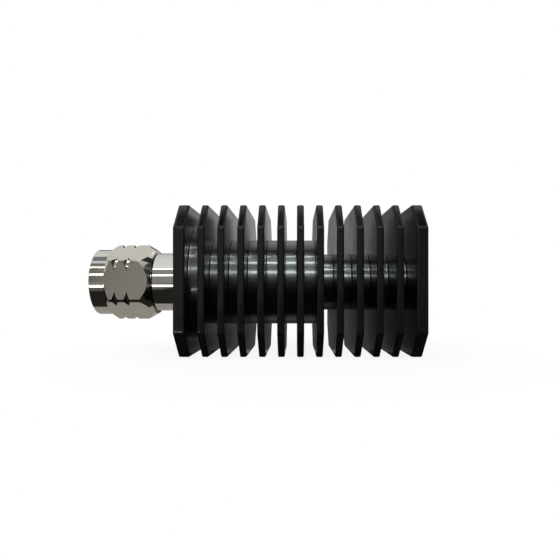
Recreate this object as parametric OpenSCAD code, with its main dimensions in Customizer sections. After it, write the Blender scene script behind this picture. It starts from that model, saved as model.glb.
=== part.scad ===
// Coaxial dummy load: a finned heat sink with a threaded plug on its front end.
// The axis lies along X. X = 0 is the plug's mating plane, the connector mouth faces -X,
// and the part rests on the lower flats of its fins.

/* [Fins] */
// Width and height of the fins across their flats
sink_w = 40; // [32:0.5:60]
// Leg of the cut across each fin corner
corner_cut = 6.6; // [3:0.1:10]
// Number of fins, with the two end fins
fin_count = 13; // [11:1:21]
// Thickness of an inner fin
fin_t = 1.8; // [1.2:0.1:3]
// Thickness of an end fin
end_fin_t = 2.9; // [2:0.1:5]
// Gap between two fins
fin_gap = 3.2; // [2.4:0.1:5]
// Bevel along the fin edges
fin_bevel = 0.25; // [0.1:0.05:0.5]

/* [Core] */
// Diameter of the hub at the connector end
hub_d = 32; // [26:0.5:36]
// Number of fin gaps over the hub
hub_gaps = 1; // [1:1:2]
// Diameter of the barrel round the load
barrel_d = 24; // [20:0.5:28]
// Number of fin gaps over the barrel
barrel_gaps = 6; // [4:1:8]
// Diameter of the rear stem
stem_d = 16; // [15:0.5:22]

/* [Coupling nut] */
// Length of the nut
nut_l = 16.6; // [15.5:0.1:20]
// Width of the hexagon across its flats
nut_af = 18.8; // [18:0.1:22]
// Diameter that the hexagon's corners are turned to
nut_corner_d = 21.2; // [20:0.1:24]
// Diameter of the round front collar
collar_d = 18.5; // [17.6:0.1:20]
// Length of the round front collar
collar_l = 4.1; // [2:0.1:5]
// Length from the front collar to the rear cone
hex_l = 9.8; // [8:0.1:11]
// Outer diameter of the nut's rear face
nut_rear_d = 18.1; // [16.6:0.1:19]
// Depth of the two V notches round the corners
notch_depth = 0.8; // [0.4:0.1:1]
// Distance from the collar to the first notch
notch_start = 3; // [2.4:0.1:4]
// Distance between the two notches
notch_pitch = 3.3; // [2.4:0.1:4]
// Bevel round the front edge of the collar
collar_bevel = 0.15; // [0.1:0.05:0.5]
// Root diameter of the coupling thread
thread_d = 15.875; // [15.5:0.025:16.5]
// Lead-in chamfer at the mouth of the nut
mouth_chamfer = 0.5; // [0.2:0.1:0.7]
// How far the nut stands ahead of the mating plane
nut_lead = 1.5; // [0.5:0.1:2.5]

/* [Connector body] */
// Diameter of the neck behind the nut
neck_d = 16.5; // [15:0.1:18]
// Length of the neck that shows between the nut and the fins
neck_l = 8.8; // [5:0.1:15]
// Edge chamfer at the front of the neck
neck_chamfer = 0.2; // [0.1:0.1:0.5]
// Diameter of the land that the nut turns on
land_d = 14.2; // [13.4:0.1:14.8]
// Diameter of the tail in the heat sink
tail_d = 14; // [12.5:0.1:15]
// Length of the tail in the heat sink
tail_l = 9; // [6:0.1:12]
// Wire diameter of the retaining ring
ring_wire_d = 1.1; // [0.8:0.1:1.2]
// Opening of the split retaining ring, in degrees
ring_split = 30; // [15:1:60]

/* [Plug contacts] */
// Outer diameter of the outer contact
contact_od = 8; // [7.6:0.05:8.4]
// Bore of the outer contact and of the air line behind it
line_d = 7; // [6.4:0.05:7.2]
// Depth from the mating plane to the gasket
mate_depth = 9.4; // [8:0.1:10]
// Diameter of the collar at the root of the outer contact
root_d = 9.4; // [9:0.1:9.6]
// Length of the outer contact inside the body
root_l = 3; // [2:0.1:4]
// Number of slots in the outer contact
slot_count = 4; // [3:1:8]
// Width of a contact slot
slot_w = 0.5; // [0.2:0.05:0.8]
// Length of a contact slot
slot_l = 7; // [4:0.1:8]
// Outer diameter of the face gasket
gasket_d = 13.6; // [12:0.1:14]
// Thickness of the face gasket
gasket_t = 1.4; // [0.8:0.1:2]
// Diameter of the support bead and of the pocket in the body
bead_d = 10; // [9.8:0.1:10.8]
// Thickness of the support bead
bead_t = 4; // [2:0.1:5]
// Diameter of the centre pin
pin_d = 3.04; // [2.6:0.02:3.4]
// Diameter of the pin's tip
pin_tip_d = 1.64; // [1.4:0.02:1.8]
// Depth from the mating plane to the pin's shoulder
pin_shoulder = 5.4; // [4.5:0.1:6.5]
// Bevel at the end of the pin's tip
pin_bevel = 0.4; // [0.2:0.05:0.6]

/* [Load] */
// Diameter of the ceramic rod
rod_d = 2.5; // [2:0.05:2.7]
// Length of the rod between its two caps
film_l = 20.8; // [14:0.1:24]
// Length of an end cap over the rod
cap_l = 3.5; // [2.5:0.1:4.5]
// Thickness of an end cap's floor
cap_floor = 0.6; // [0.3:0.1:1]
// Diameter of the stud on the front cap
stud_d = 1.6; // [1.2:0.05:1.8]
// Length of the stud on the front cap
stud_l = 3.6; // [2.5:0.1:4.5]
// Width of the slots in the pin's collet
collet_slot_w = 0.4; // [0.2:0.05:0.6]
// Outer diameter of the load sleeve and the ground plug
sleeve_d = 12; // [10.5:0.1:12.4]
// Bore of the load sleeve at its rear end
taper_d = 3.8; // [3.2:0.1:5]
// Thickness of the ground plug behind the rear cap
plug_floor = 0.5; // [0.3:0.1:2]
// Height of the disc spring
spring_h = 0.9; // [0.6:0.05:1.2]
// Thickness of the disc spring's sheet
spring_t = 0.4; // [0.2:0.05:0.5]

/* [Clearances] */
// Radial gap between the nut and the land that it turns on
run_gap = 0.05; // [0.02:0.01:0.1]
// Gap along the axis between the nut and the neck
end_gap = 0.15; // [0.1:0.05:0.5]
// Gap round the retaining ring in its grooves
ring_gap = 0.1; // [0.05:0.05:0.2]
// Radial gap round pieces that are pressed or soldered together
seat_gap = 0.02; // [0.01:0.01:0.05]

/* [Hidden] */
$fn = 96;

// Overlap that carries a cut through the face it opens on
cut = 1;

// Places along the axis, from the mouth to the rear
nut_front = -nut_lead;
collar_end = nut_front + collar_l;
cone_start = collar_end + hex_l;
nut_rear = nut_front + nut_l;
neck_front = nut_rear + end_gap;
sink_front = neck_front + neck_l;
seat_x = mate_depth + gasket_t;
bead_front = seat_x + root_l;
bead_rear = bead_front + bead_t;
tail_end = sink_front + tail_l;
sleeve_front = tail_end + spring_h;
pin_end = sleeve_front - cap_l;
sleeve_end = sleeve_front + film_l;
rear_cap_end = sleeve_end + cap_l;
plug_end = rear_cap_end + plug_floor;

// Middle of the land, where the retaining ring runs half in the body and half in the nut
lip_front = seat_x + end_gap;
ring_x = (lip_front + nut_rear) / 2;
ring_groove_w = ring_wire_d + 2 * ring_gap;
ring_groove_depth = ring_wire_d / 2 + ring_gap;

// Fin places: an end fin, a gap, then equal fins and gaps up to the other end fin
sink_l = (fin_count - 2) * fin_t + 2 * end_fin_t + (fin_count - 1) * fin_gap;
sink_rear = sink_front + sink_l;
function fin_width(i) = (i == 0 || i == fin_count - 1) ? end_fin_t : fin_t;
function fin_x(i) = sink_front + (i == 0 ? 0 : end_fin_t + fin_gap + (i - 1) * (fin_t + fin_gap));
hub_end = fin_x(hub_gaps) + fin_t / 2;
barrel_end = fin_x(hub_gaps + barrel_gaps) + fin_t / 2;

// Distance from the axis to the face of a cut corner
cut_face_r = (sink_w - corner_cut) * cos(45);

// Turns a shape made about Z so that its Z axis lies along X
module along_x() {
    rotate([0, 90, 0]) children();
}

// Solid of revolution about X, from points given as [place along X, radius]
module turned(points) {
    along_x()
        rotate_extrude()
            polygon([for (p = points) [p[1], p[0]]]);
}

// Round bar along X
module bar(x0, x1, d) {
    translate([x0, 0, 0])
        along_x()
            cylinder(h = x1 - x0, d = d);
}

// Half section of one fin, bevelled along its rim and mirrored across the axis
module fin_section(x0, t, r) {
    polygon([
        [x0, -r + fin_bevel], [x0 + fin_bevel, -r], [x0 + t - fin_bevel, -r], [x0 + t, -r + fin_bevel],
        [x0 + t, r - fin_bevel], [x0 + t - fin_bevel, r], [x0 + fin_bevel, r], [x0, r - fin_bevel]
    ]);
}

// A fin is where four bevelled bars cross: two between the flats, two between the cut corners
module fin(i) {
    intersection_for (a = [0, 45, 90, 135])
        rotate([a, 0, 0])
            linear_extrude(2 * sink_w, center = true)
                fin_section(fin_x(i), fin_width(i), a % 90 == 0 ? sink_w / 2 : cut_face_r);
}

module heat_sink() {
    color("#222423")
    difference() {
        union() {
            for (i = [0 : fin_count - 1]) fin(i);
            bar(fin_x(0) + end_fin_t / 2, hub_end, hub_d);
            bar(hub_end, barrel_end, barrel_d);
            bar(barrel_end, fin_x(fin_count - 1) + end_fin_t / 2, stem_d);
        }
        bar(sink_front - cut, tail_end + end_gap, tail_d + 2 * seat_gap);
        bar(sink_front - cut, plug_end, sleeve_d + 2 * seat_gap);
    }
}

module connector_body() {
    land_r = land_d / 2;
    groove_r = land_r - ring_groove_depth;
    groove_x0 = ring_x - ring_groove_w / 2;
    groove_x1 = ring_x + ring_groove_w / 2;
    neck_r = neck_d / 2;
    pocket_r = bead_d / 2 + seat_gap;
    color("#b9b8b2")
    turned([
        [seat_x, pocket_r], [seat_x, land_r],
        [groove_x0, land_r], [groove_x0, groove_r], [groove_x1, groove_r], [groove_x1, land_r],
        [neck_front, land_r], [neck_front, neck_r - neck_chamfer], [neck_front + neck_chamfer, neck_r],
        [sink_front, neck_r], [sink_front, tail_d / 2], [tail_end, tail_d / 2],
        [tail_end, line_d / 2], [bead_rear, line_d / 2], [bead_rear, pocket_r]
    ]);
}

// One V notch round the corners of the hexagon, as points for the nut's turned outline
function notch(x) = [
    [x - notch_depth, nut_corner_d / 2],
    [x, nut_corner_d / 2 - notch_depth],
    [x + notch_depth, nut_corner_d / 2]
];

module coupling_nut() {
    corner_r = nut_corner_d / 2;
    collar_r = collar_d / 2;
    thread_r = thread_d / 2;
    lip_r = land_d / 2 + run_gap;
    groove_r = land_d / 2 + ring_groove_depth;
    groove_x0 = ring_x - ring_groove_w / 2;
    groove_x1 = ring_x + ring_groove_w / 2;
    color("#b4b3ac")
    difference() {
        union() {
            turned([
                [nut_front, 0], [nut_front, collar_r - collar_bevel], [nut_front + collar_bevel, collar_r],
                [collar_end, collar_r], [collar_end, 0]
            ]);
            intersection() {
                turned(concat(
                    [[collar_end, 0], [collar_end, collar_r], [collar_end + corner_r - collar_r, corner_r]],
                    notch(collar_end + notch_start),
                    notch(collar_end + notch_start + notch_pitch),
                    [[cone_start, corner_r], [nut_rear, nut_rear_d / 2], [nut_rear, 0]]
                ));
                translate([nut_front, 0, 0])
                    along_x()
                        cylinder(h = nut_l, d = nut_af / cos(30), $fn = 6);
            }
        }
        turned([
            [nut_front - cut, 0], [nut_front - cut, thread_r + mouth_chamfer + cut],
            [nut_front + mouth_chamfer, thread_r], [lip_front, thread_r], [lip_front, lip_r],
            [groove_x0, lip_r], [groove_x0, groove_r], [groove_x1, groove_r], [groove_x1, lip_r],
            [nut_rear + cut, lip_r], [nut_rear + cut, 0]
        ]);
    }
}

module retaining_ring() {
    color("#8f8f8c")
    translate([ring_x, 0, 0])
        along_x()
            rotate([0, 0, ring_split / 2])
                rotate_extrude(angle = 360 - ring_split)
                    translate([land_d / 2, 0])
                        circle(d = ring_wire_d);
}

module face_gasket() {
    color("#9c4a34")
    difference() {
        bar(mate_depth, seat_x, gasket_d);
        bar(mate_depth - cut, seat_x + cut, root_d + 2 * seat_gap);
    }
}

module outer_contact() {
    contact_r = contact_od / 2;
    lip_bevel = (contact_od - line_d) / 8;
    root_x = mate_depth + seat_gap;
    color("#d9c48a")
    difference() {
        turned([
            [0, line_d / 2], [0, contact_r - lip_bevel], [lip_bevel, contact_r], [root_x, contact_r],
            [root_x, root_d / 2], [seat_x, root_d / 2], [seat_x, bead_d / 2],
            [bead_front, bead_d / 2], [bead_front, line_d / 2]
        ]);
        for (i = [0 : slot_count - 1])
            rotate([360 / slot_count * (i + 0.5), 0, 0])
                translate([-cut, -slot_w / 2, 0])
                    cube([slot_l + cut, slot_w, contact_od]);
    }
}

module centre_pin() {
    tip_r = pin_tip_d / 2;
    pin_r = pin_d / 2;
    socket_d = stud_d + 2 * seat_gap;
    color("#d8b24c")
    difference() {
        turned([
            [0, 0], [0, tip_r - pin_bevel], [pin_bevel, tip_r], [pin_shoulder, tip_r],
            [pin_shoulder, pin_r], [pin_end, pin_r], [pin_end, 0]
        ]);
        bar(pin_end - stud_l - end_gap, pin_end + cut, socket_d);
        for (a = [0, 90])
            rotate([a, 0, 0])
                translate([pin_end - stud_l, -collet_slot_w / 2, -pin_d])
                    cube([stud_l + cut, collet_slot_w, 2 * pin_d]);
    }
}

module support_bead() {
    color("#f1f0ea")
    difference() {
        bar(bead_front, bead_rear, bead_d);
        bar(bead_front - cut, bead_rear + cut, pin_d + 2 * seat_gap);
    }
}

// Cup over one end of the rod: its floor lies at x, and dir gives the way that it opens
module end_cap(x, dir) {
    turned([
        [x, 0], [x, pin_d / 2], [x + dir * cap_l, pin_d / 2], [x + dir * cap_l, rod_d / 2 + seat_gap],
        [x + dir * cap_floor, rod_d / 2 + seat_gap], [x + dir * cap_floor, 0]
    ]);
}

module front_cap() {
    color("#c9c9c6")
    union() {
        end_cap(pin_end, 1);
        bar(pin_end - stud_l, pin_end + cap_floor / 2, stud_d);
    }
}

module resistor_rod() {
    color("#e8e4d8")
    bar(pin_end + cap_floor, rear_cap_end - cap_floor, rod_d);
}

module rear_cap() {
    color("#c9c9c6")
    end_cap(rear_cap_end, -1);
}

module load_sleeve() {
    color("#c8a857")
    turned([
        [sleeve_front, line_d / 2], [sleeve_front, sleeve_d / 2],
        [sleeve_end, sleeve_d / 2], [sleeve_end, taper_d / 2]
    ]);
}

module ground_plug() {
    color("#c08a5c")
    difference() {
        bar(sleeve_end, plug_end, sleeve_d);
        bar(sleeve_end - cut, rear_cap_end, pin_d + 2 * seat_gap);
    }
}

module disc_spring() {
    inner_r = line_d / 2 + spring_t;
    outer_r = sleeve_d / 2 - spring_t;
    color("#7f7f7d")
    turned([
        [tail_end, inner_r], [tail_end + spring_t, inner_r],
        [sleeve_front, outer_r], [sleeve_front - spring_t, outer_r]
    ]);
}

heat_sink();
connector_body();
coupling_nut();
retaining_ring();
face_gasket();
outer_contact();
centre_pin();
support_bead();
front_cap();
resistor_rod();
rear_cap();
load_sleeve();
ground_plug();
disc_spring();
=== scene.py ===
"""Dressed model of a coaxial dummy load: a finned heat sink, a plug with a coupling nut, and the load inside.

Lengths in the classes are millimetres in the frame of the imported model: the axis lies along X, the mouth of
the plug faces -X and Z is up. Meshes are written in metres.
"""

import logging
import math
from collections.abc import Callable, Sequence
from dataclasses import dataclass, field
from enum import Enum
from typing import Any

import bmesh
import bpy
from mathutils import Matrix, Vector

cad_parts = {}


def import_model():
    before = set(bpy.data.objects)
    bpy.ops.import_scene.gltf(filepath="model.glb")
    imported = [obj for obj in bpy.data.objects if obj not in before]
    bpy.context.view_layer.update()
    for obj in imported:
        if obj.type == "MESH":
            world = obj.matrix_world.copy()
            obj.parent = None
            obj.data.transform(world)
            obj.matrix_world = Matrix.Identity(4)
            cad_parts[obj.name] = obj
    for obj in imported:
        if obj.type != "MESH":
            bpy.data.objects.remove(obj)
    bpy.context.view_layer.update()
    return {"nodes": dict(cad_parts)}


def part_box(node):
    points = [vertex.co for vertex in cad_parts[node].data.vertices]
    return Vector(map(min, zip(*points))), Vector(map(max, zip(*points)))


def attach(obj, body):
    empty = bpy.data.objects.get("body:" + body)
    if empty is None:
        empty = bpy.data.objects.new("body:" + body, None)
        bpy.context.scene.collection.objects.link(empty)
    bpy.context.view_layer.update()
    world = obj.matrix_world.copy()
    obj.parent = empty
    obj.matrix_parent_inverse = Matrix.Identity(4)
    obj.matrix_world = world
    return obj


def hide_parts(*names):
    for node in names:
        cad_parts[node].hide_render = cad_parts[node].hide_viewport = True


LOG = logging.getLogger("dummy_load")
MM = 0.001
MICRON = 0.000001
# Points closer than this, in millimetres, become one
MERGE_MM = 0.002
# Width and height of the photograph
PHOTO_PX = 560
# Nearly all values of a noise pattern lie between these
NOISE_SPAN = (0.3, 0.7)
# Ground lines are 25 times as long, along the axis, as they are wide
GROUND_STRETCH = (1 / 25, 1.0, 1.0)
WHITE = (1.0, 1.0, 1.0, 1.0)
# Tubes of the lamps, slightly blue
TUBE_COLOUR = "#f3feff"

Point = tuple[float, float]
Place = tuple[float, float, float]
Colour = tuple[float, float, float, float]
Outline = Callable[[float], list[Point]]
Source = bpy.types.NodeSocket | bpy.types.Node


def linear(code: str) -> Colour:
    """Turn an sRGB hex colour into linear RGBA.

    Args:
        code: Colour such as "#a0b0c0".

    Returns:
        Linear red, green and blue, and an alpha of 1.
    """
    parts = [int(code[i : i + 2], 16) / 255 for i in (1, 3, 5)]
    red, green, blue = (c / 12.92 if c <= 0.04045 else ((c + 0.055) / 1.055) ** 2.4 for c in parts)
    return red, green, blue, 1.0


def add_node(
    tree: bpy.types.NodeTree,
    kind: str,
    inputs: dict | None = None,
    stops: Sequence[tuple[float, Colour]] = (),
    **settings: Any,
) -> bpy.types.Node:
    """Add a node to a tree, with its settings, its values and its links.

    Args:
        tree: Shader or geometry tree that gets the node.
        kind: Type name of the node.
        inputs: For an input's name or index, its value, or the socket or node that feeds it. A node feeds
            it from its first output.
        stops: Places and colours of a ramp, in rising order.
        settings: Properties of the node.

    Returns:
        The new node.
    """
    node = tree.nodes.new(kind)
    for key, value in settings.items():
        setattr(node, key, value)
    for key, value in (inputs or {}).items():
        if isinstance(value, bpy.types.Node):
            value = value.outputs[0]
        if isinstance(value, bpy.types.NodeSocket):
            tree.links.new(value, node.inputs[key])
        else:
            node.inputs[key].default_value = value
    for _ in stops[2:]:
        node.color_ramp.elements.new(0.5)
    for i, (position, colour) in enumerate(stops):
        node.color_ramp.elements[i].position = position
        node.color_ramp.elements[i].color = colour
    return node


def empty_material(name: str) -> bpy.types.Material:
    """Make a material with an empty node tree."""
    material = bpy.data.materials.new(name)
    material.use_nodes = True
    material.node_tree.nodes.clear()
    return material


def put(name: str, data: bpy.types.ID) -> bpy.types.Object:
    """Make an object of a mesh, a lamp or a camera and link it to the scene."""
    item = bpy.data.objects.new(name, data)
    bpy.context.scene.collection.objects.link(item)
    return item


def put_face(name: str, corners: Sequence[Place], material: bpy.types.Material) -> bpy.types.Object:
    """Put one flat face of the stage into the scene, by its four corners in millimetres."""
    mesh = bpy.data.meshes.new(name)
    mesh.from_pydata([[MM * part for part in corner] for corner in corners], [], [(0, 1, 2, 3)])
    mesh.materials.append(material)
    face = put(name, mesh)
    return face


class Marks(Enum):
    """Direction of the fine tool marks on a surface."""

    TURNED = "rings round the axis"
    GROUND = "lines along the axis"
    GRAIN = "even grain"


@dataclass(frozen=True)
class Finish:
    """One surface finish: its colours, its tool marks and its slight unevenness.

    Sizes of marks and mottle are millimetres, and depths are microns. A finish without an IOR is a metal.
    """

    name: str
    base: str
    tone: str
    roughness: float
    spread: float = 0.02
    ior: float | None = None
    marks: Marks = Marks.TURNED
    marks_mm: float = 0.3
    depth_um: float = 0.5
    mottle_mm: float = 6.0
    coat: float = 0.0
    coat_roughness: float = 0.1

    def build(self) -> bpy.types.Material:
        """Make the material.

        Returns:
            A node material that reads Object coordinates.
        """
        material = empty_material(self.name)
        tree = material.node_tree
        place = add_node(tree, "ShaderNodeTexCoord").outputs["Object"]
        blotches = {"Vector": place, "Scale": 1 / (self.mottle_mm * MM), "Detail": 3.0}
        mottle = add_node(tree, "ShaderNodeTexNoise", blotches)
        shades = tuple(zip(NOISE_SPAN, (linear(self.base), linear(self.tone))))
        sheen = {
            "Value": mottle,
            "From Min": NOISE_SPAN[0],
            "From Max": NOISE_SPAN[1],
            "To Min": self.roughness - self.spread,
            "To Max": self.roughness + self.spread,
        }
        relief = {"Height": self.tool_marks(tree, place), "Distance": self.depth_um * MICRON}
        look = {
            "Base Color": add_node(tree, "ShaderNodeValToRGB", {"Fac": mottle}, shades),
            "Metallic": 1.0 if self.ior is None else 0.0,
            "Roughness": add_node(tree, "ShaderNodeMapRange", sheen),
            "Normal": add_node(tree, "ShaderNodeBump", relief),
            "Coat Weight": self.coat,
            "Coat Roughness": self.coat_roughness,
        }
        if self.ior is not None:
            look["IOR"] = self.ior
        shader = add_node(tree, "ShaderNodeBsdfPrincipled", look)
        add_node(tree, "ShaderNodeOutputMaterial", {"Surface": shader})
        return material

    def tool_marks(self, tree: bpy.types.NodeTree, place: Source) -> bpy.types.Node:
        """Add the height pattern of the tool marks.

        Args:
            tree: Material tree.
            place: Object coordinates.

        Returns:
            The node that gives the height.
        """
        if self.marks is Marks.TURNED:
            axes = add_node(tree, "ShaderNodeSeparateXYZ", {"Vector": place}).outputs
            across = add_node(tree, "ShaderNodeCombineXYZ", {"Y": axes["Y"], "Z": axes["Z"]})
            radius = add_node(tree, "ShaderNodeVectorMath", {0: across}, operation="LENGTH").outputs["Value"]
            place = add_node(tree, "ShaderNodeCombineXYZ", {"X": axes["X"], "Y": radius})
        if self.marks is Marks.GROUND:
            lines = {0: place, 1: GROUND_STRETCH}
            place = add_node(tree, "ShaderNodeVectorMath", lines, operation="MULTIPLY")
        pattern = {"Vector": place, "Scale": 1 / (self.marks_mm * MM), "Detail": 2.0}
        return add_node(tree, "ShaderNodeTexNoise", pattern)


# Black anodised aluminium, turned: a dyed oxide skin with a sharp gloss over a hazy dark metal.
TURNED_ANODISED = Finish(
    "turned_anodised_aluminium", "#0a0b0b", "#0d0e0e", 0.3, 0.03, 1.5, depth_um=0.8,
    coat=0.3, coat_roughness=0.08,
)
# The same skin over the sides of the fins, which a parting tool leaves with a softer gloss.
FACED_ANODISED = Finish(
    "faced_anodised_aluminium", "#080909", "#0b0c0c", 0.22, 0.03, 1.5, depth_um=0.4,
    coat=0.25, coat_roughness=0.2,
)
# The same skin over the milled flats of the bar: finer lines along it, and smooth.
MILLED_ANODISED = Finish(
    "milled_anodised_aluminium", "#080909", "#0b0c0c", 0.08, 0.02, 1.5, Marks.GROUND, depth_um=0.8
)
# The same skin over edges broken by hand, where it grows porous and dull.
EDGE_ANODISED = Finish(
    "broken_edge_anodised_aluminium", "#0a0b0b", "#0d0e0e", 0.42, 0.03, 1.25, Marks.GRAIN, depth_um=0.4
)
# Turned stainless steel, polished: a warm grey mirror with faint rings, coarser than real so that they show.
POLISHED_STEEL = Finish("polished_stainless_steel", "#cdcbc6", "#c9c7c1", 0.07, depth_um=0.02)
# The nut's hexagon flats, ground: the same steel with a softer reflection.
GROUND_STEEL = Finish(
    "ground_stainless_steel", "#cbc7be", "#c5c1b7", 0.12, marks=Marks.GROUND, marks_mm=0.25, depth_um=0.15
)
# Hard drawn spring wire and sheet: darker steel with drawing lines.
SPRING_STEEL = Finish("drawn_spring_steel", "#a9a8a5", "#9b9a97", 0.3, depth_um=0.8)
# Moulded silicone rubber: dull brick red, slightly powdery.
SILICONE = Finish(
    "moulded_silicone_rubber", "#8f3b26", "#823420", 0.6, 0.06, 1.41, Marks.GRAIN, 0.15, 4.0, 2.0
)
# White bronze plating: a silver grey with a faint yellow tint, bright.
WHITE_BRONZE = Finish("white_bronze_plating", "#d6d2c6", "#cfcabc", 0.16, depth_um=0.3, mottle_mm=2.0)
# Gold plating over turned brass: bright and smooth.
GOLD_PLATE = Finish("gold_plating", "#e6b95f", "#dfae51", 0.14, depth_um=0.3, mottle_mm=2.0)
# Turned PTFE: waxy white with soft tool rings.
PTFE = Finish("turned_ptfe", "#eeeeea", "#e6e6e1", 0.42, 0.04, 1.35, depth_um=3.0, mottle_mm=2.0)
# Sintered alumina ceramic: matt ivory.
ALUMINA = Finish("sintered_alumina", "#e7e3d6", "#ddd8c8", 0.6, 0.05, 1.76, Marks.GRAIN, 0.1, 3.0, 1.5)
# Bare turned brass: yellow metal with visible rings.
BARE_BRASS = Finish("bare_turned_brass", "#c9a24f", "#bd9442", 0.26, depth_um=0.8, mottle_mm=3.0)


@dataclass(frozen=True)
class Span:
    """Reach of a CAD node, in millimetres."""

    low: Vector
    high: Vector

    @classmethod
    def of(cls, node: str) -> "Span":
        """Read the reach of a node from the frame."""
        low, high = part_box(node)
        return cls(low / MM, high / MM)

    @property
    def middle(self) -> Vector:
        """Centre of the reach."""
        return (self.low + self.high) / 2

    @property
    def half_length(self) -> float:
        """Half of the length along the axis."""
        return (self.high.x - self.low.x) / 2

    @property
    def radius(self) -> float:
        """Outer radius of a piece that is turned about the axis."""
        return self.high.z

    def ring(self, bore: float) -> list[Point]:
        """Half section of a plain ring that fills the reach round a bore."""
        front, rear = self.low.x, self.high.x
        return [(front, bore), (front, self.radius), (rear, self.radius), (rear, bore)]


def quarter_arc(steps: int) -> list[Point]:
    """Points (1 - cos, 1 - sin) over a quarter turn: from (0, 1) to (1, 0)."""
    turns = [math.pi / 2 * k / steps for k in range(steps + 1)]
    return [(1 - math.cos(turn), 1 - math.sin(turn)) for turn in turns]


def rounded(points: Sequence[Point], radius: float, steps: int = 3) -> list[Point]:
    """Round the corners of a half section, and hold the flats beside them with a near point.

    Args:
        points: Corners as (x, radius) pairs.
        radius: Radius of the rounding, which takes up at most a quarter of an edge.
        steps: Segments in each rounded corner.

    Returns:
        The points of the rounded section, with those on the axis left sharp.
    """
    result: list[Point] = []
    for i, corner in enumerate(points):
        if corner[1] <= 0:
            result.append(corner)
            continue
        here = Vector(corner)
        back = Vector(points[i - 1]) - here
        ahead = Vector(points[(i + 1) % len(points)]) - here
        half = back.angle(ahead) / 2
        leg = min(radius / math.tan(half), back.length / 4, ahead.length / 4)
        back.normalize()
        ahead.normalize()
        centre = here + (back + ahead).normalized() * (leg / math.cos(half))
        start = here + back * leg - centre
        swing = start.angle_signed(here + ahead * leg - centre)
        result.append(tuple(here + back * 2 * leg))
        for k in range(steps + 1):
            turn = -swing * k / steps
            x = start.x * math.cos(turn) - start.y * math.sin(turn)
            r = start.x * math.sin(turn) + start.y * math.cos(turn)
            result.append((centre.x + x, centre.y + r))
        result.append(tuple(here + ahead * 2 * leg))
    return result


def side_angles(stops: Sequence[float], steps: Sequence[int]) -> list[float]:
    """Space angles over half a side of a prism, mirror them and repeat the side round the axis.

    Args:
        stops: Angles from 0, at the middle of a side, to its end.
        steps: Number of equal steps between each two stops.

    Returns:
        Angles in radians round the whole axis.
    """
    end = stops[-1]
    parts = zip(stops, stops[1:], steps)
    first = [low + (high - low) * i / count for low, high, count in parts for i in range(count)]
    side = first + [end] + [2 * end - angle for angle in reversed(first[1:])]
    return [angle + 2 * end * k for k in range(round(math.pi / end)) for angle in side]


def loft(name: str, outline: Outline, angles: Sequence[float], closed: bool) -> bpy.types.Mesh:
    """Sweep an outline round the axis, where it may change with the angle.

    Args:
        name: Name of the mesh.
        outline: Gives the (x, radius) points at an angle, as many at each. They run from the mouth to the
            rear on the outside, and back on the inside.
        angles: Angles in radians, from +Y towards +Z.
        closed: True where each outline is a loop.

    Returns:
        The mesh, with doubles merged.
    """
    rows = [outline(angle) for angle in angles]
    count = len(rows[0])
    vertices = [
        (x * MM, r * math.cos(angle) * MM, r * math.sin(angle) * MM)
        for angle, row in zip(angles, rows)
        for x, r in row
    ]
    faces = []
    for j in range(len(rows)):
        here, there = j * count, (j + 1) % len(rows) * count
        for i in range(count if closed else count - 1):
            k = (i + 1) % count
            faces.append((here + i, there + i, there + k, here + k))
    mesh = bpy.data.meshes.new(name)
    mesh.from_pydata(vertices, [], faces)
    shape = bmesh.new()
    shape.from_mesh(mesh)
    bmesh.ops.remove_doubles(shape, verts=shape.verts, dist=MERGE_MM * MM)
    shape.to_mesh(mesh)
    shape.free()
    return mesh


def turned(name: str, points: Sequence[Point], edge: float, count: int = 144) -> bpy.types.Mesh:
    """Turn a half section about the axis.

    Args:
        name: Name of the mesh.
        points: Corners as (x, radius) pairs, outside from mouth to rear, inside back. A section that starts
            on the axis ends there too.
        edge: Radius of the broken edges.
        count: Segments round the axis.

    Returns:
        The mesh.
    """
    section = rounded(points, edge)
    angles = [math.tau * i / count for i in range(count)]
    return loft(name, lambda angle: section, angles, points[0][1] > 0)


class Tree:
    """A geometry tree with named inputs, made into a plain mesh on one object."""

    def __init__(self, name: str, **inputs: str) -> None:
        """Make an empty tree.

        Args:
            name: Name of the tree.
            inputs: Kind of each named input. A material is added to them.
        """
        self.tree = bpy.data.node_groups.new(name, "GeometryNodeTree")
        sockets = self.tree.interface
        sockets.new_socket("Geometry", in_out="INPUT", socket_type="NodeSocketGeometry")
        sockets.new_socket("Geometry", in_out="OUTPUT", socket_type="NodeSocketGeometry")
        self.keys = {
            key: sockets.new_socket(key, in_out="INPUT", socket_type=f"NodeSocket{kind}").identifier
            for key, kind in {**inputs, "material": "Material"}.items()
        }
        self.given = self.add("NodeGroupInput").outputs

    def add(self, kind: str, inputs: dict | None = None, **settings: Any) -> bpy.types.Node:
        """Add a node to the tree, as add_node does."""
        return add_node(self.tree, kind, inputs, **settings)

    def end(self, last: bpy.types.Node) -> None:
        """Realize what the last node gives, set the material and send it out."""
        real = self.add("GeometryNodeRealizeInstances", {"Geometry": last})
        dressed = self.add("GeometryNodeSetMaterial", {"Geometry": real, "Material": self.given["material"]})
        self.add("NodeGroupOutput", {0: dressed})

    def bake(self, mesh: bpy.types.Mesh, **values: Any) -> bpy.types.Mesh:
        """Run the tree on a mesh.

        Args:
            mesh: Mesh that goes in.
            values: Value of each named input.

        Returns:
            The result as a plain mesh.
        """
        holder = put(mesh.name, mesh)
        modifier = holder.modifiers.new(self.tree.name, "NODES")
        modifier.node_group = self.tree
        for key, value in values.items():
            modifier[self.keys[key]] = value
        graph = bpy.context.evaluated_depsgraph_get()
        result = bpy.data.meshes.new_from_object(holder.evaluated_get(graph), depsgraph=graph)
        bpy.data.objects.remove(holder)
        return result


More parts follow.
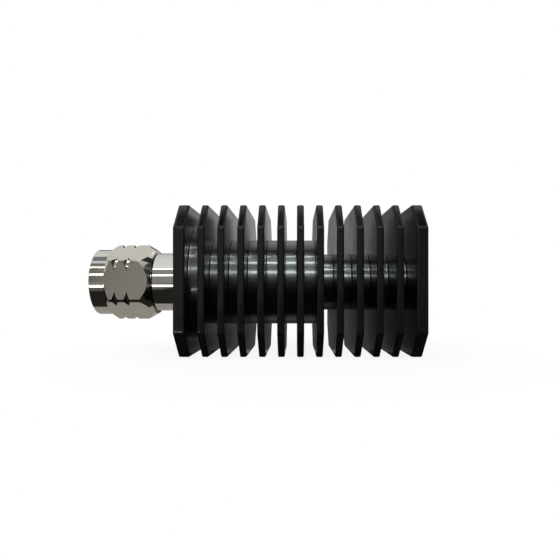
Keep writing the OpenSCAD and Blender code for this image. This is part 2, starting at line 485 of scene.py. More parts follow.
def add_piece(
    name: str, mesh: bpy.types.Mesh, body: str, slot: str, *nodes: str, sharp: float = 28.0
) -> bpy.types.Object:
    """Make a mesh a piece of the object.

    Args:
        name: Name of the piece.
        mesh: Its mesh, with its materials.
        body: CAD body that it rides on.
        slot: Material slot of the record; not used.
        nodes: CAD nodes that it stands for.
        sharp: Angle between two faces, in degrees, from which their edge stays sharp.

    Returns:
        The piece.
    """
    mesh.name = name
    mesh.shade_smooth()
    mesh.set_sharp_from_angle(angle=math.radians(sharp))
    piece = put(name, mesh)
    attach(piece, body)
    if nodes:
        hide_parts(*nodes)
    LOG.info("%s: %d faces on %s", name, len(mesh.polygons), body)
    return piece


@dataclass
class Fits:
    """Radii and gaps where two pieces meet, which both of them share."""

    land_r: float = 7.1
    tail_r: float = 7.0
    seat_gap: float = 0.02
    end_gap: float = 0.15
    ring_gap: float = 0.1

    def groove(self) -> tuple[float, float, float]:
        """Front, rear and half width of the groove round the retaining ring."""
        ring = Span.of("retaining_ring")
        half = ring.half_length + self.ring_gap
        return ring.middle.x - half, ring.middle.x + half, half


@dataclass
class HeatSink(Fits):
    """One bar of aluminium, milled to a square with cut corners and turned into fins on a stepped core.

    A bend is held by a point at a short distance on the flat beside it. The lean and the slack tell sides,
    flats and broken edges apart by the way that a face looks.
    """

    fin_count: int = 13
    fin_t: float = 1.8
    end_fin_t: float = 2.9
    corner_cut: float = 6.6
    corner_round: float = 0.8
    rim_round: float = 0.4
    root_round: float = 0.2
    hub_r: float = 16.0
    barrel_r: float = 12.0
    stem_r: float = 8.0
    hub_gaps: int = 1
    barrel_gaps: int = 6
    tail_gap: float = 0.15
    mouth_rim: float = 2.0
    hold: float = 0.15
    arc_steps: int = 4
    side_steps: tuple[int, ...] = (8, 8, 3)
    side_lean: float = 0.98
    flat_slack: float = 0.02
    skins: tuple[Finish, ...] = (TURNED_ANODISED, MILLED_ANODISED, FACED_ANODISED, EDGE_ANODISED)
    span: Span = field(init=False)
    half: float = field(init=False)
    pitch: float = field(init=False)

    def __post_init__(self) -> None:
        """Take the overall sizes from the frame."""
        self.span = Span.of("heat_sink")
        self.half = self.span.high.z
        metal = 2 * self.end_fin_t + (self.fin_count - 2) * self.fin_t
        self.pitch = self.fin_t + (2 * self.span.half_length - metal) / (self.fin_count - 1)

    def fin_x(self, i: int) -> float:
        """Place of the front side of fin i."""
        first = self.span.low.x
        return first if i == 0 else first + self.end_fin_t - self.fin_t + i * self.pitch

    def fin_rear(self, i: int) -> float:
        """Place of the rear side of fin i."""
        return self.fin_x(i) + (self.end_fin_t if i in (0, self.fin_count - 1) else self.fin_t)

    def core_r(self, gap: int) -> float:
        """Radius of the core in a gap, counted from the front."""
        if gap < self.hub_gaps:
            return self.hub_r
        return self.barrel_r if gap < self.hub_gaps + self.barrel_gaps else self.stem_r

    def core(self, gap: int) -> Point:
        """Point of the core at the middle of a gap, where two stretches of the sink meet."""
        return (self.fin_rear(gap) + self.fin_x(gap + 1)) / 2, self.core_r(gap)

    def rim(self, angle: float, inset: float) -> float:
        """Radius of the fin's rim: a square with cut corners, rounded where flat and cut meet.

        Args:
            angle: Angle round the axis.
            inset: How far the rim is drawn in from the full size.

        Returns:
            The radius at that angle.
        """
        quarter = math.pi / 2
        turn = angle % quarter
        turn = min(turn, quarter - turn)
        flat = self.half - inset
        cut = (2 * self.half - self.corner_cut) / math.sqrt(2) - inset
        bend = self.corner_round - inset
        centre = Vector((flat - bend, (cut - bend) * math.sqrt(2) - flat + bend))
        if turn <= math.atan2(centre.y, flat):
            return flat / math.cos(turn)
        reach = bend / math.sqrt(2)
        if turn >= math.atan2(centre.y + reach, centre.x + reach):
            return cut / math.cos(quarter / 2 - turn)
        along = centre.x * math.cos(turn) + centre.y * math.sin(turn)
        return along + math.sqrt(along**2 - centre.length_squared + bend**2)

    def angles(self) -> list[float]:
        """Angles of the mesh: close together at the rounded corners, even between them."""
        corner = math.atan2(self.half - self.corner_cut, self.half)
        spread = self.corner_round / self.half
        return side_angles((0.0, corner - spread, corner + spread, math.pi / 4), self.side_steps)

    def flank_rim(self, angle: float, x: float, away: int) -> list[Point]:
        """Points over the rounded rim of a fin, from its side to its outer face.

        Args:
            angle: Angle round the axis.
            x: Place of the side.
            away: -1 for a front side, 1 for a rear side.

        Returns:
            The points, from the side outwards.
        """
        bend, held = self.rim_round, self.rim_round + self.hold
        arc = [(x - away * bend * a, self.rim(angle, bend * b)) for a, b in quarter_arc(self.arc_steps)]
        return [(x, self.rim(angle, held)), *arc, (x - away * held, self.rim(angle, 0.0))]

    def flank(self, angle: float, x: float, away: int, core: float) -> list[Point]:
        """Points up one side of a fin, from the fillet at the core to the rim.

        Args:
            angle: Angle round the axis.
            x: Place of the side.
            away: -1 for a front side, 1 for a rear side.
            core: Radius of the core at its foot.

        Returns:
            The points, from the core outwards.
        """
        bend, held = self.root_round, self.root_round + self.hold
        arc = [(x + away * bend * b, core + bend * a) for a, b in quarter_arc(self.arc_steps - 1)]
        return [(x + away * held, core), *arc, (x, core + held), *self.flank_rim(angle, x, away)]

    def stretch(self, i: int) -> bpy.types.Mesh:
        """Make the sink from the middle of one gap, over fin i, to the middle of the next.

        Args:
            i: Number of the fin, from the front.

        Returns:
            The mesh, open at its ends.
        """
        front, rear = self.fin_x(i), self.fin_rear(i)

        def outline(angle: float) -> list[Point]:
            """Give the points at one angle."""
            if i == 0:
                points = self.bore() + self.flank_rim(angle, front, -1)
            else:
                points = [self.core(i - 1), *self.flank(angle, front, -1, self.core_r(i - 1))]
            if i == self.fin_count - 1:
                return points + self.flank_rim(angle, rear, 1)[::-1] + [(rear, self.stem_r), (rear, 0.0)]
            return points + self.flank(angle, rear, 1, self.core_r(i))[::-1] + [self.core(i)]

        return loft(f"fin_{i}", outline, self.angles(), False)

    def bore(self) -> list[Point]:
        """Points of the stepped blind bore, from its floor out to the front face."""
        plug = Span.of("ground_plug")
        step = Span.of("connector_body").high.x + self.tail_gap
        floor, narrow = plug.high.x, plug.radius + self.seat_gap
        front, wide = self.span.low.x, self.tail_r + self.seat_gap
        mouth = [(front, wide), (front, wide + self.mouth_rim)]
        return [(floor, 0.0), (floor, narrow), (step, narrow), (step, wide)] + mouth

    def build(self) -> bpy.types.Object:
        """Build the sink as one piece.

        Returns:
            The piece, which stands for the CAD node.
        """
        step = self.hub_gaps + self.barrel_gaps
        last = self.fin_count - 1
        joined = bmesh.new()
        for i in (0, *range(1, self.hub_gaps + 1), step, last):
            joined.from_mesh(self.stretch(i))
        start = bpy.data.meshes.new("odd_fins")
        joined.to_mesh(start)
        joined.free()
        cells = [put(f"cell_{i}", self.stretch(i)) for i in (self.hub_gaps + 1, step + 1)]
        skins = [finish.build() for finish in self.skins]
        mesh = self.rows().bake(
            start,
            barrel_fin=cells[0],
            barrel_fins=self.barrel_gaps - 1,
            stem_fin=cells[1],
            stem_fins=last - step - 1,
            pitch=self.pitch * MM,
            weld=MERGE_MM * MM,
            material=skins[0],
        )
        for cell in cells:
            bpy.data.objects.remove(cell)
        mesh.materials.clear()
        for skin in skins:
            mesh.materials.append(skin)
        mesh.polygons.foreach_set("material_index", [self.skin_index(face) for face in mesh.polygons])
        return add_piece("heat_sink_bar", mesh, "load_body", "black_anodised", "heat_sink")

    def skin_index(self, face: bpy.types.MeshPolygon) -> int:
        """Tell how a face was cut.

        Args:
            face: A face of the sink.

        Returns:
            0 for the turned core, 1 for the milled rim, 2 for a fin's side and 3 for a broken edge.
        """
        lean = abs(face.normal.x)
        if lean > self.side_lean:
            return 2
        fillet_r = self.hub_r + self.root_round + self.hold
        if math.hypot(face.center.y, face.center.z) < fillet_r * MM:
            return 0
        eighths = math.atan2(face.normal.z, face.normal.y) / (math.pi / 4)
        return 1 if max(lean, abs(eighths - round(eighths))) < self.flat_slack else 3

    def rows(self) -> Tree:
        """Make the tree that repeats a fin along the barrel and another along the stem, and welds them.

        Returns:
            The tree.
        """
        counts = {"barrel_fins": "Int", "stem_fins": "Int"}
        rows = Tree("fin_rows", barrel_fin="Object", stem_fin="Object", **counts, pitch="Float", weld="Float")
        given = rows.given
        step = rows.add("ShaderNodeCombineXYZ", {"X": given["pitch"]})
        join = rows.add("GeometryNodeJoinGeometry", {0: given["Geometry"]})
        for part in ("barrel_fin", "stem_fin"):
            cell = rows.add("GeometryNodeObjectInfo", {"Object": given[part]}).outputs["Geometry"]
            line = rows.add("GeometryNodeMeshLine", {"Count": given[part + "s"], "Offset": step})
            placed = rows.add("GeometryNodeInstanceOnPoints", {"Points": line, "Instance": cell})
            real = rows.add("GeometryNodeRealizeInstances", {"Geometry": placed})
            rows.tree.links.new(real.outputs[0], join.inputs[0])
        rows.end(rows.add("GeometryNodeMergeByDistance", {"Geometry": join, "Distance": given["weld"]}))
        return rows


@dataclass
class CouplingNut(Fits):
    """Hexagon nut, turned over its corners, with a round collar, two V notches, a rear cone and its thread.

    The widths and the depth of the thread's ridge are shares of its pitch. The ridge runs out to a small
    share of its section over a part of a turn at each end.
    """

    across_flats: float = 18.8
    corner_r: float = 10.6
    collar_r: float = 9.25
    collar_l: float = 4.1
    hex_l: float = 9.8
    rear_r: float = 9.05
    notch_count: int = 2
    notch_depth: float = 0.8
    notch_start: float = 3.0
    notch_pitch: float = 3.3
    thread_r: float = 7.9375
    mouth_chamfer: float = 0.5
    run_gap: float = 0.05
    edge: float = 0.15
    edge_steps: int = 3
    side_steps: tuple[int, ...] = (7, 8, 3)
    flat_slack: float = 0.01
    thread_pitch: float = 25.4 / 24
    thread_end: float = 9.0
    root_share: float = 7 / 8
    crest_share: float = 1 / 4
    depth_share: float = 0.541
    ridge_sink: float = 0.05
    turn_points: int = 72
    runout_turns: float = 0.4
    runout_share: float = 0.12
    span: Span = field(init=False)

    def __post_init__(self) -> None:
        """Take the place of the nut from the frame."""
        self.span = Span.of("coupling_nut")

    def outline(self, angle: float) -> list[Point]:
        """Give the closed section of the nut at one angle.

        Args:
            angle: Angle round the axis, 0 at the middle of a flat.

        Returns:
            Points over the outside to the rear, and back through the bore.
        """
        sixth = math.pi / 3
        turn = (angle + sixth / 2) % sixth - sixth / 2
        hexagon = min(self.across_flats / 2 / math.cos(turn), self.corner_r)
        front, rear = self.span.low.x, self.span.high.x
        collar_end = front + self.collar_l
        cone_start = collar_end + self.hex_l
        slope = (rear - cone_start) / (self.corner_r - self.rear_r)
        cone_end = cone_start + (self.corner_r - hexagon) * slope
        points = [(front, self.thread_r + self.mouth_chamfer), (front, self.collar_r - 2 * self.edge)]
        arc = quarter_arc(self.edge_steps)
        points += [(front + self.edge * a, self.collar_r - self.edge * b) for a, b in arc]
        points += [(front + 2 * self.edge, self.collar_r), (collar_end, self.collar_r)]
        points.append((collar_end + hexagon - self.collar_r, hexagon))
        floor = self.corner_r - self.notch_depth
        depth = max(hexagon - floor, 0.0)
        for k in range(self.notch_count):
            x = collar_end + self.notch_start + k * self.notch_pitch
            points += [(x - depth, hexagon), (x, min(floor, hexagon)), (x + depth, hexagon)]
        points += [(cone_end, hexagon), (rear, self.rear_r)]
        return points + self.bore()

    def bore(self) -> list[Point]:
        """Points of the bore, from the rear face to the mouth, with the groove of the retaining ring."""
        groove_front, groove_rear, groove = self.groove()
        lip = self.land_r + self.run_gap
        lip_front = Span.of("connector_body").low.x + self.end_gap
        return [
            (self.span.high.x, lip),
            (groove_rear, lip),
            (groove_rear, self.land_r + groove),
            (groove_front, self.land_r + groove),
            (groove_front, lip),
            (lip_front, lip),
            (lip_front, self.thread_r),
            (self.span.low.x + self.mouth_chamfer, self.thread_r),
        ]

    def angles(self) -> list[float]:
        """Angles of the mesh, with one at each end of the corner rounds and of the notches."""
        flat = self.across_flats / 2
        ends = [math.acos(flat / r) for r in (self.corner_r - self.notch_depth, self.corner_r)]
        return side_angles((0.0, *ends, math.pi / 6), self.side_steps)

    def is_flat(self, face: bpy.types.MeshPolygon) -> bool:
        """Tell whether a face lies on one of the hexagon's flats."""
        level = (face.center.y * face.normal.y + face.center.z * face.normal.z) / MM
        return max(abs(face.normal.x), abs(level - self.across_flats / 2)) < self.flat_slack

    def build(self) -> list[bpy.types.Object]:
        """Build the nut and its thread.

        Returns:
            The nut, which stands for the CAD node, and the ridge of the thread.
        """
        steel = POLISHED_STEEL.build()
        mesh = loft("coupling_nut_body", self.outline, self.angles(), True)
        mesh.materials.append(steel)
        mesh.materials.append(GROUND_STEEL.build())
        mesh.polygons.foreach_set("material_index", [int(self.is_flat(face)) for face in mesh.polygons])
        nut = add_piece("coupling_nut_body", mesh, "coupling_nut", "stainless", "coupling_nut", sharp=18.0)
        pitch = self.thread_pitch
        start = self.span.low.x + self.mouth_chamfer + pitch / 2
        length = self.thread_end - start
        ridge = self.helix().bake(
            bpy.data.meshes.new("thread_start"),
            radius=self.thread_r * MM,
            start=start * MM,
            length=length * MM,
            turns=length / pitch,
            root_width=pitch * self.root_share * MM,
            crest_width=pitch * self.crest_share * MM,
            height=pitch * self.depth_share * MM,
            sink=self.ridge_sink * MM,
            material=steel,
        )
        return [nut, add_piece("coupling_thread", ridge, "coupling_nut", "stainless")]

    def helix(self) -> Tree:
        """Make the tree that sweeps the thread's ridge along a right-hand helix, with a run-out at both ends.

        Returns:
            The tree.
        """
        sizes = ("radius", "start", "length", "turns", "root_width", "crest_width", "height", "sink")
        helix = Tree("thread_helix", **dict.fromkeys(sizes, "Float"))
        given = helix.given
        path = {
            "Resolution": self.turn_points,
            "Rotations": given["turns"],
            "Start Radius": given["radius"],
            "End Radius": given["radius"],
            "Height": given["length"],
            "Reverse": True,
        }
        spiral = helix.add("GeometryNodeCurveSpiral", path)
        corners = {}
        foot, crest = ("root_width", "sink", 1), ("crest_width", "height", -1)
        for i, ((width, depth, outward), side) in enumerate(((foot, 1), (crest, 1), (crest, -1), (foot, -1))):
            across = helix.add("ShaderNodeMath", {0: given[width], 1: side / 2}, operation="MULTIPLY")
            radial = helix.add("ShaderNodeMath", {0: given[depth], 1: outward}, operation="MULTIPLY")
            corner = helix.add("ShaderNodeCombineXYZ", {"X": radial, "Y": across})
            corners[f"Point {i + 1}"] = corner.outputs[0]
        along = helix.add("GeometryNodeSplineParameter")
        back = helix.add("ShaderNodeMath", {0: 1.0, 1: along}, operation="SUBTRACT")
        near = helix.add("ShaderNodeMath", {0: along, 1: back}, operation="MINIMUM")
        turns = helix.add("ShaderNodeMath", {0: near, 1: given["turns"]}, operation="MULTIPLY")
        runout = {"Value": turns, "From Max": self.runout_turns, "To Min": self.runout_share}
        sweep = {
            "Curve": helix.add("GeometryNodeSetCurveNormal", {"Curve": spiral}, mode="Z_UP"),
            "Profile Curve": helix.add("GeometryNodeCurvePrimitiveQuadrilateral", corners, mode="POINTS"),
            "Scale": helix.add("ShaderNodeMapRange", runout),
            "Fill Caps": True,
        }
        swept = helix.add("GeometryNodeCurveToMesh", sweep)
        place = helix.add("ShaderNodeCombineXYZ", {"X": given["start"]})
        laid = {"Geometry": swept, "Translation": place, "Rotation": (0.0, math.pi / 2, 0.0)}
        helix.end(helix.add("GeometryNodeTransform", laid))
        return helix


@dataclass
class Plug(Fits):
    """Turned body of the plug with its gasket, contacts and insulating bead.

    The slots are cut by blades that reach past the end and past the outside of the piece.
    """

    neck_r: float = 8.25
    neck_chamfer: float = 0.2
    line_r: float = 3.5
    contact_r: float = 4.0
    root_r: float = 4.7
    lip_bevel: float = 0.125
    slot_count: int = 4
    slot_w: float = 0.5
    slot_l: float = 7.0
    pin_r: float = 1.52
    pin_tip_r: float = 0.82
    pin_shoulder: float = 5.4
    pin_bevel: float = 0.4
    stud_r: float = 0.8
    stud_l: float = 3.6
    collet_slot_w: float = 0.4
    blade_over: float = 1.0
    blade_reach: float = 1.2
    body_edge: float = 0.08
    gasket_edge: float = 0.3
    bead_edge: float = 0.15
    sleeve_edge: float = 0.05
    pin_edge: float = 0.06
    body_count: int = 192
    pin_count: int = 72

    def body(self) -> bpy.types.Object:
        """Build the turned body: land, neck and tail.

        Returns:
            The piece.
        """
        span, bead = Span.of("connector_body"), Span.of("support_bead")
        groove_front, groove_rear, groove = self.groove()
        neck = Span.of("coupling_nut").high.x + self.end_gap
        sink = Span.of("heat_sink").low.x
        pocket = bead.radius + self.seat_gap
        points = [
            (span.low.x, pocket),
            (span.low.x, self.land_r),
            (groove_front, self.land_r),
            (groove_front, self.land_r - groove),
            (groove_rear, self.land_r - groove),
            (groove_rear, self.land_r),
            (neck, self.land_r),
            (neck, self.neck_r - self.neck_chamfer),
            (neck + self.neck_chamfer, self.neck_r),
            (sink, self.neck_r),
            (sink, self.tail_r),
            (span.high.x, self.tail_r),
            (span.high.x, self.line_r),
            (bead.high.x, self.line_r),
            (bead.high.x, pocket),
        ]
        mesh = turned("connector_body_turned", points, self.body_edge, self.body_count)
        mesh.materials.append(POLISHED_STEEL.build())
        return add_piece("connector_body_turned", mesh, "load_body", "stainless", "connector_body")

    def ring(
        self, name: str, node: str, bore: float, edge: float, finish: Finish, slot: str
    ) -> bpy.types.Object:
        """Build a plain ring that fills the reach of its node round a bore."""
        mesh = turned(name, Span.of(node).ring(bore + self.seat_gap), edge)
        mesh.materials.append(finish.build())
        return add_piece(name, mesh, "load_body", slot, node)

    def sleeve(self) -> bpy.types.Object:
        """Build the slotted outer contact.

        Returns:
            The piece.
        """
        span, gasket = Span.of("outer_contact"), Span.of("face_gasket")
        root = gasket.low.x + self.seat_gap
        points = [
            (span.low.x, self.line_r),
            (span.low.x, self.contact_r - self.lip_bevel),
            (span.low.x + self.lip_bevel, self.contact_r),
            (root, self.contact_r),
            (root, self.root_r),
            (gasket.high.x, self.root_r),
            (gasket.high.x, span.radius),
            (span.high.x, span.radius),
            (span.high.x, self.line_r),
        ]
        mesh = self.slots().bake(
            turned("outer_contact_sleeve", points, self.sleeve_edge),
            slots=self.slot_count,
            width=self.slot_w * MM,
            length=(self.slot_l + self.blade_over) * MM,
            reach=self.contact_r * self.blade_reach * MM,
            place=(span.low.x + (self.slot_l - self.blade_over) / 2) * MM,
            first=math.pi / self.slot_count,
            material=WHITE_BRONZE.build(),
        )
        return add_piece("outer_contact_sleeve", mesh, "load_body", "white_bronze", "outer_contact")

    def pin(self) -> bpy.types.Object:
        """Build the stepped centre pin with the slotted collet at its rear.

        Returns:
            The piece.
        """
        span = Span.of("centre_pin")
        socket = self.stud_r + self.seat_gap
        floor = span.high.x - self.stud_l - self.end_gap
        points = [
            (span.low.x, 0.0),
            (span.low.x, self.pin_tip_r - self.pin_bevel),
            (span.low.x + self.pin_bevel, self.pin_tip_r),
            (self.pin_shoulder, self.pin_tip_r),
            (self.pin_shoulder, self.pin_r),
            (span.high.x, self.pin_r),
            (span.high.x, socket),
            (floor, socket),
            (floor, 0.0),
        ]
        mesh = self.slots().bake(
            turned("centre_pin_turned", points, self.pin_edge, self.pin_count),
            slots=self.slot_count,
            width=self.collet_slot_w * MM,
            length=(self.stud_l + self.blade_over) * MM,
            reach=self.pin_r * self.blade_reach * MM,
            place=(span.high.x - (self.stud_l - self.blade_over) / 2) * MM,
            first=0.0,
            material=GOLD_PLATE.build(),
        )
        return add_piece("centre_pin_turned", mesh, "load_body", "gold_plate", "centre_pin")

    def slots(self) -> Tree:
        """Make the tree that cuts a ring of slots in a sleeve.

        Returns:
            The tree.
        """
        sizes = dict.fromkeys(("width", "length", "reach", "place", "first"), "Float")
        ring = Tree("slot_ring", slots="Int", **sizes)
        given = ring.given
        size = {"X": given["length"], "Y": given["width"], "Z": given["reach"]}
        blade = ring.add("GeometryNodeMeshCube", {"Size": ring.add("ShaderNodeCombineXYZ", size)})
        lift = ring.add("ShaderNodeMath", {0: given["reach"], 1: 0.5}, operation="MULTIPLY")
        place = ring.add("ShaderNodeCombineXYZ", {"X": given["place"], "Z": lift})
        raised = ring.add("GeometryNodeTransform", {"Geometry": blade, "Translation": place})
        points = ring.add("GeometryNodeMeshLine", {"Count": given["slots"], "Offset": (0.0, 0.0, 0.0)})
        index = ring.add("GeometryNodeInputIndex")
        share = ring.add("ShaderNodeMath", {0: math.tau, 1: given["slots"]}, operation="DIVIDE")
        turn = ring.add("ShaderNodeMath", {0: index, 1: share, 2: given["first"]}, operation="MULTIPLY_ADD")
        spin = ring.add("FunctionNodeEulerToRotation", {0: ring.add("ShaderNodeCombineXYZ", {"X": turn})})
        placed = {"Points": points, "Instance": raised, "Rotation": spin}
        blades = ring.add("GeometryNodeInstanceOnPoints", placed)
        real = ring.add("GeometryNodeRealizeInstances", {"Geometry": blades})
        meshes = {"Mesh 1": given["Geometry"], "Mesh 2": real}
        ring.end(ring.add("GeometryNodeMeshBoolean", meshes, operation="DIFFERENCE", solver="EXACT"))
        return ring

    def build(self) -> list[bpy.types.Object]:
        """Build every piece of the plug, from the body to the pin."""
        gasket = (self.root_r, self.gasket_edge, SILICONE)
        bead = (self.pin_r, self.bead_edge, PTFE)
        return [
            self.body(),
            self.ring("face_gasket_ring", "face_gasket", *gasket, "silicone"),
            self.sleeve(),
            self.ring("support_bead_disc", "support_bead", *bead, "ptfe"),
            self.pin(),
        ]


@dataclass
class InnerLoad:
    """Pieces inside the bore, which keep their CAD shapes and get their finishes."""

    finishes: dict[str, Finish] = field(
        default_factory=lambda: {
            "retaining_ring": SPRING_STEEL,
            "disc_spring": SPRING_STEEL,
            "front_cap": WHITE_BRONZE,
            "rear_cap": WHITE_BRONZE,
            "resistor_rod": ALUMINA,
            "load_sleeve": BARE_BRASS,
            "ground_plug": BARE_BRASS,
        }
    )

    def dress(self, nodes: dict[str, bpy.types.Object]) -> None:
        """Give each inner node its material.

        Args:
            nodes: The CAD nodes by name.
        """
        made = {finish: finish.build() for finish in dict.fromkeys(self.finishes.values())}
        for name, finish in self.finishes.items():
            data = nodes[name].data
            data.materials.clear()
            data.materials.append(made[finish])
            LOG.info("%s: dressed in %s", name, finish.name)


@dataclass(frozen=True)
class Card:
    """A flat card that only reflections show, as a studio uses to shape them.

    It spans two opposite corners in millimetres, level or upright, with two edges along X. Its glow may fade
    in from the left end and out to the right end, over the two lengths of fade.
    """

    name: str
    low: Place
    high: Place
    colour: str
    glow: float = 1.0
    fade: Point = (0.0, 0.0)

    def strength(self, tree: bpy.types.NodeTree) -> bpy.types.Node:
        """Add the strength of the glow, as it fades along X.

        Args:
            tree: Material tree of the card.

        Returns:
            The node that gives the strength.
        """
        left, right = self.low[0], self.high[0]
        place = add_node(tree, "ShaderNodeTexCoord").outputs["Object"]
        along = add_node(tree, "ShaderNodeSeparateXYZ", {"Vector": place})
        strength = self.glow
        for full, end in ((left + self.fade[0], left), (right - self.fade[1], right)):
            ends = {"From Min": full * MM, "From Max": end * MM, "To Min": strength, "To Max": 0.0}
            fade = {"Value": along, **ends}
            strength = add_node(tree, "ShaderNodeMapRange", fade, interpolation_type="SMOOTHSTEP")
        return strength

    def build(self) -> bpy.types.Object:
        """Lay the card out.

        Returns:
            The card.
        """
        (x0, y0, z0), (x1, y1, z1) = self.low, self.high
        corners = [(x0, y0, z0), (x1, y0, z0), (x1, y1, z1), (x0, y1, z1)]
        material = empty_material(self.name)
        tree = material.node_tree
        strength = self.strength(tree) if any(self.fade) else self.glow
        glow = add_node(tree, "ShaderNodeEmission", {"Color": linear(self.colour), "Strength": strength})
        add_node(tree, "ShaderNodeOutputMaterial", {"Surface": glow})
        card = put_face(self.name, corners, material)
        card.visible_camera = False
        card.visible_diffuse = False
        card.visible_shadow = False
        return card


@dataclass(frozen=True)
class Strip:
    """A long lamp along X, aimed at the axis. The angle is from the front horizon, in degrees.

    A strip shows in reflections only, and a soft lamp lights dull surfaces only.
    """

    name: str
    angle: float
    distance: float
    left: float
    right: float
    width: float
    radiance: float
    soft: bool = False

    def build(self) -> bpy.types.Object:
        """Hang the lamp.

        Returns:
            The lamp.
        """
        lamp = bpy.data.lights.new(self.name, "AREA")
        lamp.shape = "RECTANGLE"
        lamp.size = (self.right - self.left) * MM
        lamp.size_y = self.width * MM
        lamp.energy = math.pi * lamp.size * lamp.size_y * self.radiance
        lamp.color = linear(TUBE_COLOUR)[:3]
        hung = put(self.name, lamp)
        tilt = math.radians(self.angle)
        across, up = -self.distance * math.cos(tilt), self.distance * math.sin(tilt)
        hung.location = Vector(((self.left + self.right) / 2, across, up)) * MM
        hung.rotation_euler = (math.pi / 2 - tilt, 0.0, 0.0)
        hung.visible_camera = False
        hung.visible_diffuse = self.soft
        hung.visible_glossy = not self.soft
        return hung


@dataclass
class Studio:
    """Camera at the photograph's place, white surroundings, a pale floor, strip lamps and dark cards.

    The surround gives colours for reflections by their angle in degrees, from the front horizon over the top.
    The front share dims or lifts them in front, by how far their direction points along X. It holds in full
    where the direction's Y is below the front way, and fades from there to the sides.
    """

    focal_px: float = 496.06
    centre_px: Point = (296.08, 291.28)
    distance: float = 143.8
    aside: float = -1.15
    drop: float = -2.68
    sensor: float = 36.0
    clip_start: float = 10.0
    floor_gap: float = 0.1
    card_gap: float = 0.05
    ceiling: float = 300.0
    ceiling_gap: float = 1.0
    rear: float = 250.0
    rear_top: float = 140.0
    floor_reach: float = 3000.0
    paper: str = "#f3f3f1"
    light_level: float = 0.5
    front_way: float = -0.5
    shade_share: float = 0.1
    shade_reach: float = 70.0
    strips: tuple[Strip, ...] = (
        Strip("front_strip", 25.0, 350.0, 10.0, 122.0, 35.0, 33.0),
        Strip("front_hub_strip", 25.0, 350.0, -50.0, 10.0, 32.0, 16.0),
        Strip("front_nut_strip", 25.0, 350.0, -300.0, -50.0, 26.0, 7.0),
        Strip("upper_strip", 51.0, 350.0, 10.0, 122.0, 14.0, 85.0),
        Strip("upper_hub_strip", 56.0, 350.0, -50.0, 10.0, 14.0, 14.0),
        Strip("upper_nut_strip", 51.0, 350.0, -300.0, -50.0, 14.0, 8.0),
        Strip("top_strip", 70.0, 350.0, 38.0, 130.0, 12.0, 60.0),
        Strip("soft_key", 60.0, 400.0, -200.0, 300.0, 250.0, 2.2, soft=True),
    )
    surround: tuple[tuple[float, str], ...] = (
        (-180.0, "#b3b3b3"), (-20.0, "#979590"), (28.0, "#979590"), (38.0, "#9b9994"), (52.0, "#9b9994"),
        (55.0, "#ffffff"), (100.0, "#ffffff"), (122.0, "#f0f0ee"), (180.0, "#b8b8b8"),
    )
    front_share: tuple[Point, ...] = (
        (-0.62, 1.2), (-0.44, 0.45), (-0.42, 0.45), (-0.385, 0.62),
        (-0.35, 1.0), (-0.25, 1.1), (0.0, 1.05), (0.25, 0.45),
    )

    def camera(self) -> None:
        """Set the camera up, level, with the shift that the photograph's framing needs."""
        view = bpy.data.cameras.new("camera")
        view.sensor_width = self.sensor
        view.lens = self.focal_px / PHOTO_PX * self.sensor
        view.shift_x = 0.5 - self.centre_px[0] / PHOTO_PX
        view.shift_y = self.centre_px[1] / PHOTO_PX - 0.5
        view.clip_start = self.clip_start * MM
        stand = put("camera", view)
        stand.location = Vector((Span.of("heat_sink").middle.x + self.aside, -self.distance, self.drop)) * MM
        stand.rotation_euler = (math.pi / 2, 0.0, 0.0)
        bpy.context.scene.camera = stand

    def seen(self, tree: bpy.types.NodeTree) -> bpy.types.Node:
        """Add the test for rays that see the background: from the camera, a gloss or a clear piece.

        Args:
            tree: World or floor tree.

        Returns:
            A node that gives 1 for those rays and 0 for the others.
        """
        path = add_node(tree, "ShaderNodeLightPath").outputs
        direct = {0: path["Is Camera Ray"], 1: path["Is Glossy Ray"]}
        seen = {0: add_node(tree, "ShaderNodeMath", direct, operation="ADD"), 1: path["Is Transmission Ray"]}
        return add_node(tree, "ShaderNodeMath", seen, operation="ADD", use_clamp=True)

    def world(self) -> None:
        """Surround the object with soft light, white to the eye and greyer in front for reflections."""
        world = bpy.data.worlds.new("studio")
        bpy.context.scene.world = world
        world.use_nodes = True
        tree = world.node_tree
        tree.nodes.clear()
        way = add_node(tree, "ShaderNodeTexCoord").outputs["Generated"]
        axes = add_node(tree, "ShaderNodeSeparateXYZ", {"Vector": way}).outputs
        front = add_node(tree, "ShaderNodeMath", {0: axes["Y"], 1: -1.0}, operation="MULTIPLY")
        angle = add_node(tree, "ShaderNodeMath", {0: axes["Z"], 1: front}, operation="ARCTAN2")
        circle = {"Value": angle, "From Min": -math.pi, "From Max": math.pi}
        turn = add_node(tree, "ShaderNodeMapRange", circle)
        shades = [((degrees + 180) / 360, linear(code)) for degrees, code in self.surround]
        shade = add_node(tree, "ShaderNodeValToRGB", {"Fac": turn}, shades)
        side = add_node(tree, "ShaderNodeMapRange", {"Value": axes["X"], "From Min": -1.0})
        shares = [((aside + 1) / 2, (share, share, share, 1.0)) for aside, share in self.front_share]
        share = add_node(tree, "ShaderNodeValToRGB", {"Fac": side}, shares)
        ahead = {"Value": axes["Y"], "From Min": self.front_way, "From Max": 0.0, "To Min": share}
        kept = add_node(tree, "ShaderNodeMapRange", ahead)
        soft = add_node(tree, "ShaderNodeBackground", {"Color": WHITE, "Strength": self.light_level})
        mirrored = add_node(tree, "ShaderNodeBackground", {"Color": shade, "Strength": kept})
        white = add_node(tree, "ShaderNodeBackground", {"Color": WHITE})
        lit = add_node(tree, "ShaderNodeMixShader", {0: self.seen(tree), 1: soft, 2: mirrored})
        eye = add_node(tree, "ShaderNodeLightPath").outputs["Is Camera Ray"]
        all_rays = add_node(tree, "ShaderNodeMixShader", {0: eye, 1: lit, 2: white})
        add_node(tree, "ShaderNodeOutputWorld", {"Surface": all_rays})

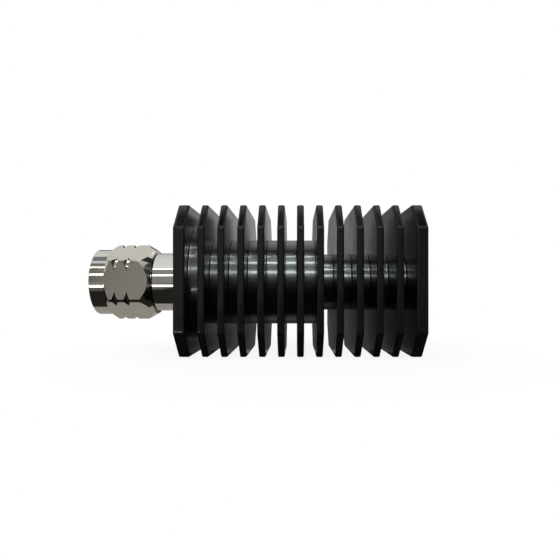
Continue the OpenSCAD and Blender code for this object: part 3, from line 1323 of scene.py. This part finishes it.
    def floor(self) -> None:
        """Lay a pale floor that is white to the eye and keeps a faint shadow near the object."""
        sink = Span.of("heat_sink")
        level = sink.low.z - self.floor_gap
        reach = self.floor_reach
        ends = ((-reach, -reach), (reach, -reach), (reach, reach), (-reach, reach))
        material = empty_material("pale_floor")
        tree = material.node_tree
        place = add_node(tree, "ShaderNodeTexCoord").outputs["Object"]
        apart = {0: place, 1: (sink.middle.x * MM, 0.0, level * MM)}
        near = {
            "Value": add_node(tree, "ShaderNodeVectorMath", apart, operation="DISTANCE").outputs["Value"],
            "From Min": self.shade_reach / 2 * MM,
            "From Max": self.shade_reach * MM,
            "To Min": 1 - self.shade_share,
            "To Max": 1.0,
        }
        parts = {0: add_node(tree, "ShaderNodeMapRange", near), 1: self.seen(tree)}
        share = add_node(tree, "ShaderNodeMath", parts, operation="MULTIPLY")
        paper = add_node(tree, "ShaderNodeBsdfDiffuse", {"Color": linear(self.paper)})
        white = add_node(tree, "ShaderNodeEmission", {"Color": WHITE, "Strength": 1.0})
        mixed = add_node(tree, "ShaderNodeMixShader", {0: share, 1: paper, 2: white})
        add_node(tree, "ShaderNodeOutputMaterial", {"Surface": mixed})
        put_face("floor", [(x, y, level) for x, y in ends], material)

    def cards(self) -> list[Card]:
        """List the cards: on the table, on those a little higher, overhead and upright behind the object.

        Returns:
            The cards.
        """
        table = Span.of("heat_sink").low.z - self.card_gap
        lifted = table + self.card_gap / 2
        top, reach, rear = self.ceiling, self.floor_reach, self.rear
        below = top - self.ceiling_gap
        return [
            Card("table_left_card", (-reach, -reach, table), (-20.0, -70.0, table), "#979590"),
            Card("table_front_card", (-20.0, -reach, table), (reach, -70.0, table), "#5b5a57"),
            Card("table_dark_card", (-reach, -70.0, table), (reach, -3.7, table), "#2b2a28"),
            Card("table_nut_card", (-reach, -3.7, table), (24.0, 600.0, table), "#adaba6"),
            # Darker than table_nut_card from the sink's front face back: painted shade of the sink on the
            # table, seen only in reflections
            Card("table_rear_card", (24.0, -3.7, table), (reach, 600.0, table), "#565552"),
            Card("table_under_card", (30.0, -4.5, lifted), (74.0, 3.0, lifted), "#a09e99", fade=(18.0, 14.0)),
            Card("table_soft_card", (-200.0, -60.0, lifted), (9.0, -37.0, lifted), "#6b6863"),
            Card("low_strip_card", (-200.0, -97.0, lifted), (9.0, -60.0, lifted), "#ffffff", 4.0),
            Card("low_hub_card", (11.5, -90.0, lifted), (16.2, -66.0, lifted), "#ffffff", 14.0),
            Card("overhead_card", (-47.0, -90.0, top), (400.0, 31.0, top), "#333436"),
            Card("overhead_fin_card", (25.0, 14.0, below), (150.0, 31.0, below), "#6a6b6d"),
            Card("overhead_hub_card", (-44.0, -205.0, top), (-24.0, -90.0, top), "#333436"),
            Card("overhead_glow_card", (-30.0, 70.0, top), (155.0, 260.0, top), "#ffffff", 1.2, (55.0, 50.0)),
            Card("overhead_nut_card", (-140.0, -64.0, top), (-100.0, 51.0, top), "#8c8c95"),
            Card("overhead_nut_front_card", (-200.0, -200.0, top), (-92.0, -125.0, top), "#84827a"),
            Card("rear_left_card", (-400.0, rear, table), (39.0, rear, self.rear_top), "#161616"),
            Card("rear_right_card", (102.0, rear, table), (600.0, rear, self.rear_top), "#161616"),
        ]

    def build(self) -> None:
        """Set up the whole studio."""
        self.camera()
        self.world()
        self.floor()
        lit = [item.build() for item in (*self.strips, *self.cards())]
        bpy.context.scene.view_settings.view_transform = "Standard"
        LOG.info("studio: %d strips and cards", len(lit))


def main() -> None:
    """Load the frame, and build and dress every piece."""
    logging.basicConfig(level=logging.INFO, format="%(name)s %(message)s")
    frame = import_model()
    Studio().build()
    HeatSink().build()
    CouplingNut().build()
    Plug().build()
    InnerLoad().dress(frame["nodes"])


if __name__ == "__main__":
    main()
